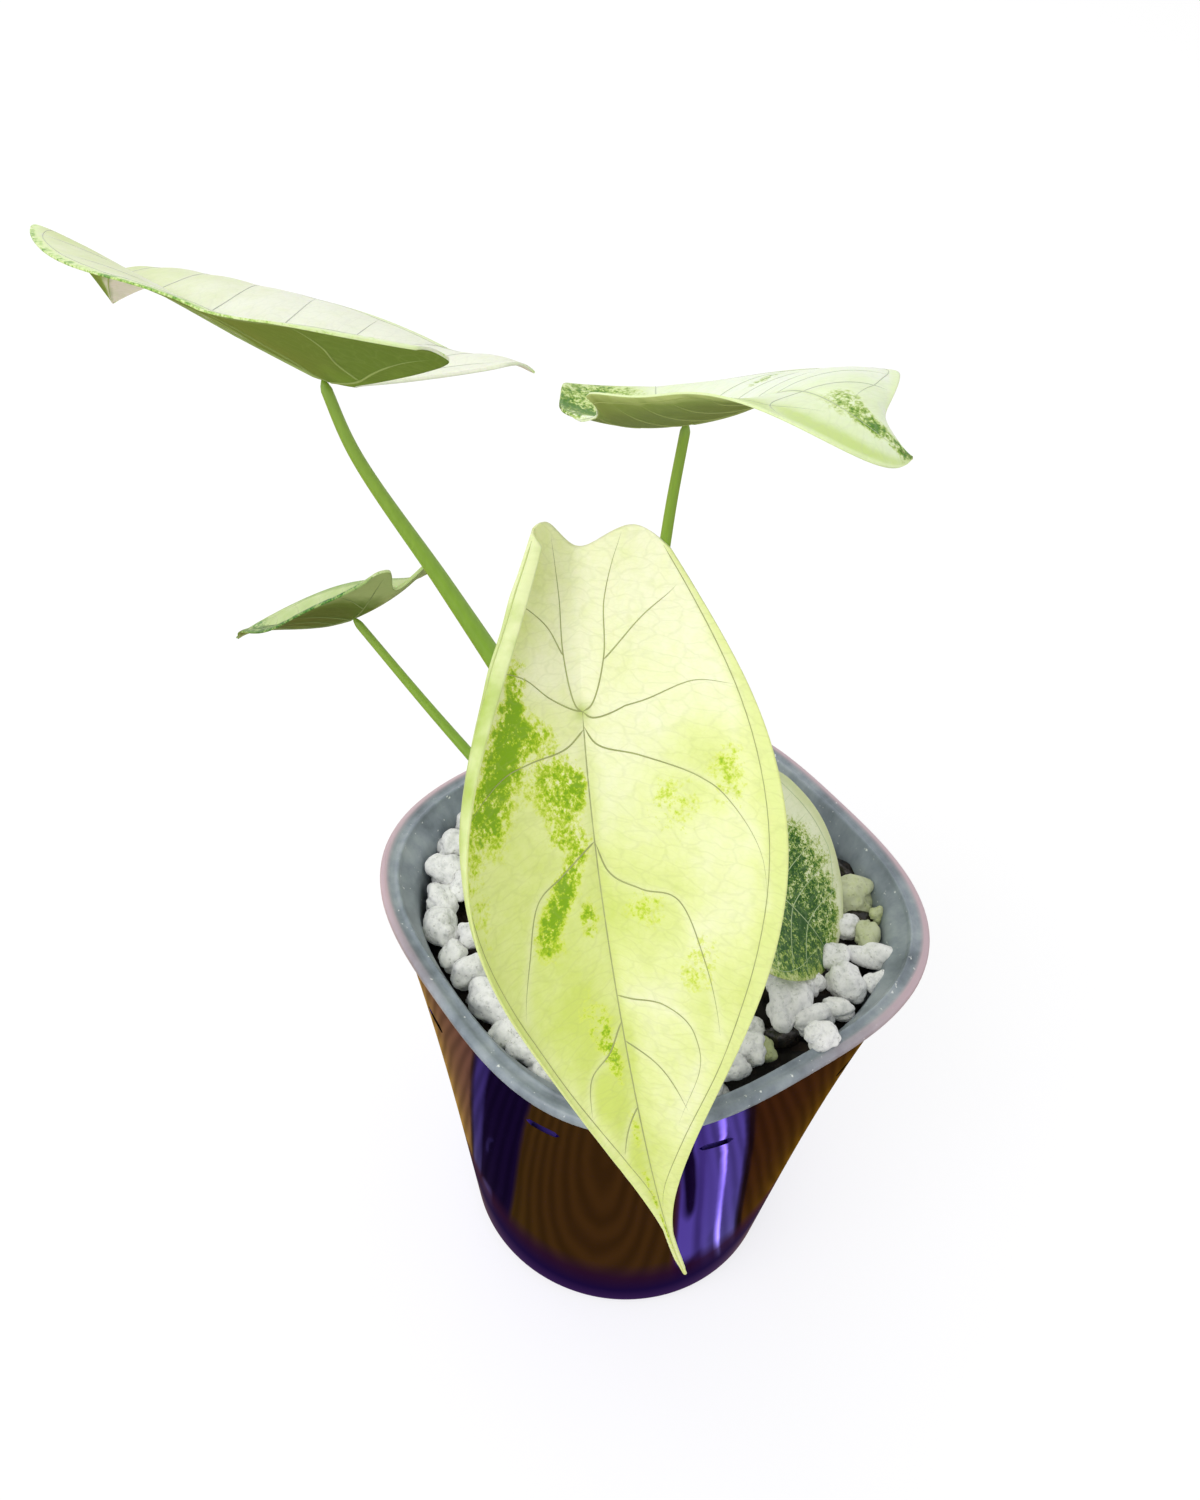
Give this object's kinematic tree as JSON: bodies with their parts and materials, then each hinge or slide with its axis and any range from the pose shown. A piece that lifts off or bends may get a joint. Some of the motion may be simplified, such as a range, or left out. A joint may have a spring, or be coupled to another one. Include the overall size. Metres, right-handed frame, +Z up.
{
  "type": "potted alocasia",
  "caption": "Young variegated alocasia with shield-shaped leaves in a squircle nursery pot topped with perlite, hung in a tapered mirror-violet cover pot that is round at its foot.",
  "frame": {"origin": "centre of the cover pot's underside", "axes": "+Z up, X and Y square to the nursery pot's flat sides"},
  "size_m": [0.1708, 0.094, 0.184],
  "materials": {
    "cover_pot": "vacuum-metallised violet mirror plastic",
    "nursery_pot": "translucent smoke-grey polypropylene, scuffed inside",
    "substrate": "dark moist mix of bark, coir and peat",
    "perlite": "rough white expanded perlite grains, a few stained green by algae",
    "stem": "fleshy corm neck with papery tan sheaths",
    "petiole": "smooth fleshy fresh green stalk",
    "blade": "satin waxy leaf, cream to lime with green mottling and grey-green veins"
  },
  "bodies": {
    "root": {"cover_pot": "cover_pot", "nursery_pot": "nursery_pot", "substrate": "substrate", "perlite": "perlite", "stem_base": "stem", "petiole_front": "petiole", "petiole_upper_left": "petiole", "petiole_upper_right": "petiole", "petiole_small_left": "petiole", "petiole_small_right": "petiole", "blade_front": "blade", "blade_upper_left": "blade", "blade_upper_right": "blade", "blade_small_left": "blade", "blade_small_right": "blade"}
  },
  "joints": []
}
